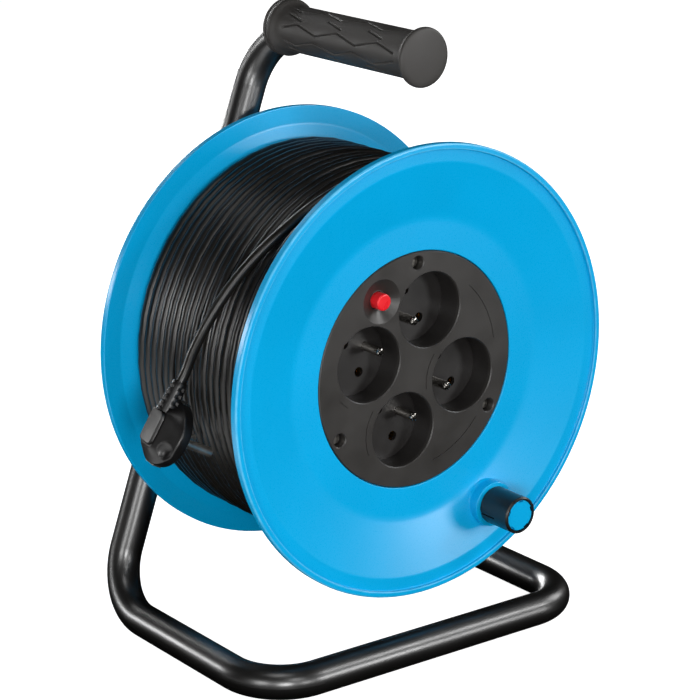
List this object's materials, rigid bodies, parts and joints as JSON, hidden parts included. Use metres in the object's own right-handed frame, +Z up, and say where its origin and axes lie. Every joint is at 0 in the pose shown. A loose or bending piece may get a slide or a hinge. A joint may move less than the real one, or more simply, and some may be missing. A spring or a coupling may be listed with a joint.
{
  "type": "extension cord reel",
  "caption": "Hand-cranked extension cord reel: dished drum with wound mains cord and a socket insert, turning on a bent tube frame with a carrying grip.",
  "frame": {"origin": "on the floor, below the middle of the reel's bounding box without its cord", "axes": "+Z up, drum axis along Y with the sockets facing -Y, X across the drum"},
  "size_m": [0.2581, 0.1828, 0.3339],
  "materials": {
    "black_painted_steel": "gloss",
    "grip_rubber": "matte",
    "zinc_steel": "satin",
    "dark_screw_steel": "satin",
    "nickel_steel": "polished",
    "brass": "satin",
    "blue_plastic": "satin",
    "black_plastic": "satin",
    "charcoal_plastic": "matte",
    "white_plastic": "matte",
    "red_plastic": "gloss",
    "cord_sheath": "satin",
    "plug_rubber": "matte"
  },
  "bodies": {
    "frame": {"leg_tube": "black_painted_steel", "base_tube": "black_painted_steel", "stay_tube": "black_painted_steel", "handle_grip": "grip_rubber", "axle_sleeve": "zinc_steel", "axle_bolt": "zinc_steel", "axle_washers": "zinc_steel", "axle_saddles": "zinc_steel", "axle_nut": "zinc_steel"},
    "drum": {"front_drum_half": "blue_plastic", "rear_drum_half": "blue_plastic", "drum_screws": "zinc_steel", "hub_bushes": "white_plastic", "knob_spindle": "blue_plastic", "face_plate": "charcoal_plastic", "plate_screws": "dark_screw_steel", "socket_cup_1": "charcoal_plastic", "socket_cup_2": "charcoal_plastic", "socket_cup_3": "charcoal_plastic", "socket_cup_4": "charcoal_plastic", "earth_pins": "nickel_steel", "contact_sleeves": "brass", "contact_carrier": "white_plastic", "live_bar": "brass", "neutral_bar": "brass", "earth_bar": "brass", "contact_cover": "white_plastic", "thermal_cutout": "black_plastic", "terminal_block": "white_plastic", "inner_cord": "cord_sheath", "cord_grommet": "cord_sheath", "winding_core": "cord_sheath", "cord_winding": "cord_sheath", "cord_tail": "cord_sheath", "plug_body": "plug_rubber", "plug_pins": "nickel_steel", "plug_earth_clips": "nickel_steel"},
    "crank_knob": {"crank_knob": "black_plastic"},
    "reset_button": {"reset_button": "red_plastic"}
  },
  "joints": [
    {"name": "drum_spin", "type": "hinge", "parent": "frame", "child": "drum", "pos_m": [0, 0.0236, 0.156], "axis": [0, 1, 0], "continuous": true},
    {"name": "knob_spin", "type": "hinge", "parent": "drum", "child": "crank_knob", "pos_m": [0.04822, -0.0808, 0.07415], "axis": [0, 1, 0], "continuous": true},
    {"name": "reset_press", "type": "slide", "parent": "drum", "child": "reset_button", "axis": [0, 1, 0], "range_m": [0, 0.0035], "stiffness_N_per_m": 400}
  ]
}
